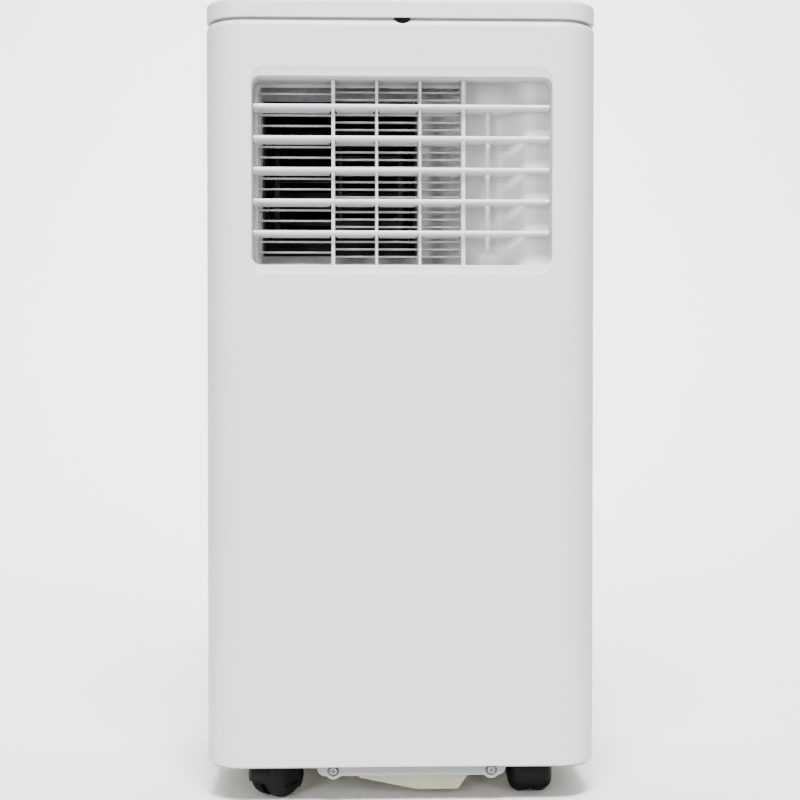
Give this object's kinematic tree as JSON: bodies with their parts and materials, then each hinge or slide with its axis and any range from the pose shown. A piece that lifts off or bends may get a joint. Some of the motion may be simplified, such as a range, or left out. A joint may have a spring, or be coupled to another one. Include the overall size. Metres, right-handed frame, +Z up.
{
  "type": "portable air conditioner",
  "caption": "Upright white portable air conditioner on castors, with a louvred front outlet, a rear filter grille, a hose collar and a control strip on top.",
  "frame": {"origin": "on the floor under the middle of the case", "axes": "+Z up, the air outlet faces -Y, +X is the right side as seen from the front"},
  "size_m": [0.336, 0.3, 0.686],
  "materials": {
    "shell": "fine moulded texture, near white",
    "trim": "moulded, near white",
    "natural": "unpainted natural plastic, cream",
    "black": "black moulded nylon",
    "dark": "dark grey moulded plastic",
    "gloss_black": "polished smoked window",
    "mesh": "woven filter mesh",
    "screw": "zinc plated",
    "motor": "galvanised sheet",
    "fins": "bare fins",
    "compressor": "black enamel",
    "copper": "bare copper",
    "rubber": "matt",
    "board": "green solder mask"
  },
  "bodies": {
    "case": {"base_pan": "natural", "front_panel": "shell", "rear_panel": "shell", "top_cover": "shell", "side_handles": "trim", "partition_tray": "trim", "case_screws": "screw", "outlet_grille": "trim", "outlet_duct": "trim", "control_fascia": "dark", "display_window": "gloss_black", "control_board": "board", "remote_receiver": "gloss_black", "lower_intake_grille": "shell", "exhaust_collar": "trim", "exhaust_duct": "trim", "cord_gland": "dark", "evaporator_coil": "fins", "evaporator_fan_housing": "black", "evaporator_fan_motor": "motor", "condenser_coil": "fins", "condenser_fan_housing": "black", "condenser_fan_motor": "motor", "compressor": "compressor", "compressor_mounts": "rubber", "refrigerant_pipes": "copper", "electrical_box": "dark", "float_stem": "trim", "splash_motor": "motor", "castor_sockets": "dark"},
    "louvre_1": {"louvre_1": "shell"},
    "louvre_2": {"louvre_2": "shell"},
    "louvre_3": {"louvre_3": "shell"},
    "louvre_4": {"louvre_4": "shell"},
    "louvre_5": {"louvre_5": "shell"},
    "louvre_link": {"louvre_link": "shell"},
    "button_power": {"button_power": "trim"},
    "button_mode": {"button_mode": "trim"},
    "button_fan": {"button_fan": "trim"},
    "button_down": {"button_down": "trim"},
    "button_up": {"button_up": "trim"},
    "button_timer": {"button_timer": "trim"},
    "button_sleep": {"button_sleep": "trim"},
    "upper_filter": {"upper_filter_frame": "shell", "upper_filter_mesh": "mesh"},
    "drain_cap": {"drain_cap": "dark"},
    "drain_plug": {"drain_plug": "rubber"},
    "evaporator_fan_wheel": {"evaporator_fan_wheel": "black"},
    "condenser_fan_wheel": {"condenser_fan_wheel": "black"},
    "splash_wheel": {"splash_wheel": "trim"},
    "float_ring": {"float_ring": "dark"},
    "castor_fork_front_left": {"castor_fork_front_left": "black"},
    "castor_wheels_front_left": {"castor_wheels_front_left": "black"},
    "castor_fork_front_right": {"castor_fork_front_right": "black"},
    "castor_wheels_front_right": {"castor_wheels_front_right": "black"},
    "castor_fork_rear_left": {"castor_fork_rear_left": "black"},
    "castor_wheels_rear_left": {"castor_wheels_rear_left": "black"},
    "castor_fork_rear_right": {"castor_fork_rear_right": "black"},
    "castor_wheels_rear_right": {"castor_wheels_rear_right": "black"}
  },
  "joints": [
    {"name": "louvre_1_pivot", "type": "hinge", "parent": "case", "child": "louvre_1", "pos_m": [0, -0.13, 0.5961], "axis": [1, 0, 0], "range_deg": [-35, 35]},
    {"name": "louvre_2_pivot", "type": "hinge", "parent": "case", "child": "louvre_2", "pos_m": [0, -0.13, 0.56915], "axis": [1, 0, 0], "range_deg": [-35, 35]},
    {"name": "louvre_3_pivot", "type": "hinge", "parent": "case", "child": "louvre_3", "pos_m": [0, -0.13, 0.5422], "axis": [1, 0, 0], "range_deg": [-35, 35]},
    {"name": "louvre_4_pivot", "type": "hinge", "parent": "case", "child": "louvre_4", "pos_m": [0, -0.13, 0.51525], "axis": [1, 0, 0], "range_deg": [-35, 35]},
    {"name": "louvre_5_pivot", "type": "hinge", "parent": "case", "child": "louvre_5", "pos_m": [0, -0.13, 0.4883], "axis": [1, 0, 0], "range_deg": [-35, 35]},
    {"name": "louvre_link_pivot", "type": "hinge", "parent": "louvre_1", "child": "louvre_link", "pos_m": [0.075, -0.118, 0.5961], "axis": [1, 0, 0], "range_deg": [-35, 35]},
    {"name": "button_power_press", "type": "slide", "parent": "case", "child": "button_power", "axis": [0, 0, -1], "range_m": [0, 0.0008], "stiffness_N_per_m": 1500},
    {"name": "button_mode_press", "type": "slide", "parent": "case", "child": "button_mode", "axis": [0, 0, -1], "range_m": [0, 0.0008], "stiffness_N_per_m": 1500},
    {"name": "button_fan_press", "type": "slide", "parent": "case", "child": "button_fan", "axis": [0, 0, -1], "range_m": [0, 0.0008], "stiffness_N_per_m": 1500},
    {"name": "button_down_press", "type": "slide", "parent": "case", "child": "button_down", "axis": [0, 0, -1], "range_m": [0, 0.0008], "stiffness_N_per_m": 1500},
    {"name": "button_up_press", "type": "slide", "parent": "case", "child": "button_up", "axis": [0, 0, -1], "range_m": [0, 0.0008], "stiffness_N_per_m": 1500},
    {"name": "button_timer_press", "type": "slide", "parent": "case", "child": "button_timer", "axis": [0, 0, -1], "range_m": [0, 0.0008], "stiffness_N_per_m": 1500},
    {"name": "button_sleep_press", "type": "slide", "parent": "case", "child": "button_sleep", "axis": [0, 0, -1], "range_m": [0, 0.0008], "stiffness_N_per_m": 1500},
    {"name": "upper_filter_hinge", "type": "hinge", "parent": "case", "child": "upper_filter", "pos_m": [0, 0.15, 0.421], "axis": [-1, 0, 0], "range_deg": [0, 60]},
    {"name": "drain_cap_pull", "type": "slide", "parent": "case", "child": "drain_cap", "axis": [0, 1, 0], "range_m": [0, 0.012]},
    {"name": "drain_plug_pull", "type": "slide", "parent": "case", "child": "drain_plug", "axis": [0, 1, 0], "range_m": [0, 0.01]},
    {"name": "evaporator_fan_spin", "type": "hinge", "parent": "case", "child": "evaporator_fan_wheel", "pos_m": [0, 0.014, 0.53], "axis": [1, 0, 0], "continuous": true},
    {"name": "condenser_fan_spin", "type": "hinge", "parent": "case", "child": "condenser_fan_wheel", "pos_m": [0.045, 0.05, 0.165], "axis": [0, 1, 0], "continuous": true},
    {"name": "splash_wheel_spin", "type": "hinge", "parent": "case", "child": "splash_wheel", "pos_m": [-0.0925, 0.052, 0.07], "axis": [1, 0, 0], "continuous": true},
    {"name": "float_rise", "type": "slide", "parent": "case", "child": "float_ring", "axis": [0, 0, 1], "range_m": [0, 0.01]},
    {"name": "castor_swivel_front_left", "type": "hinge", "parent": "case", "child": "castor_fork_front_left", "pos_m": [-0.106, -0.11, 0.045], "axis": [0, 0, 1], "continuous": true},
    {"name": "castor_roll_front_left", "type": "hinge", "parent": "castor_fork_front_left", "child": "castor_wheels_front_left", "pos_m": [-0.10928, -0.11377, 0.019], "axis": [-0.7547, 0.6561, 0], "continuous": true},
    {"name": "castor_swivel_front_right", "type": "hinge", "parent": "case", "child": "castor_fork_front_right", "pos_m": [0.113, -0.11, 0.045], "axis": [0, 0, 1], "continuous": true},
    {"name": "castor_roll_front_right", "type": "hinge", "parent": "castor_fork_front_right", "child": "castor_wheels_front_right", "pos_m": [0.113, -0.105, 0.019], "axis": [1, 0, 0], "continuous": true},
    {"name": "castor_swivel_rear_left", "type": "hinge", "parent": "case", "child": "castor_fork_rear_left", "pos_m": [-0.106, 0.11, 0.045], "axis": [0, 0, 1], "continuous": true},
    {"name": "castor_roll_rear_left", "type": "hinge", "parent": "castor_fork_rear_left", "child": "castor_wheels_rear_left", "pos_m": [-0.10771, 0.1147, 0.019], "axis": [0.9397, 0.342, 0], "continuous": true},
    {"name": "castor_swivel_rear_right", "type": "hinge", "parent": "case", "child": "castor_fork_rear_right", "pos_m": [0.113, 0.11, 0.045], "axis": [0, 0, 1], "continuous": true},
    {"name": "castor_roll_rear_right", "type": "hinge", "parent": "castor_fork_rear_right", "child": "castor_wheels_rear_right", "pos_m": [0.11511, 0.11453, 0.019], "axis": [0.9063, -0.4226, 0], "continuous": true}
  ],
  "couplings": [
    {"joint": "louvre_2_pivot", "follows": "louvre_1_pivot", "ratio": 1},
    {"joint": "louvre_3_pivot", "follows": "louvre_1_pivot", "ratio": 1},
    {"joint": "louvre_4_pivot", "follows": "louvre_1_pivot", "ratio": 1},
    {"joint": "louvre_5_pivot", "follows": "louvre_1_pivot", "ratio": 1},
    {"joint": "louvre_link_pivot", "follows": "louvre_1_pivot", "ratio": -1}
  ]
}
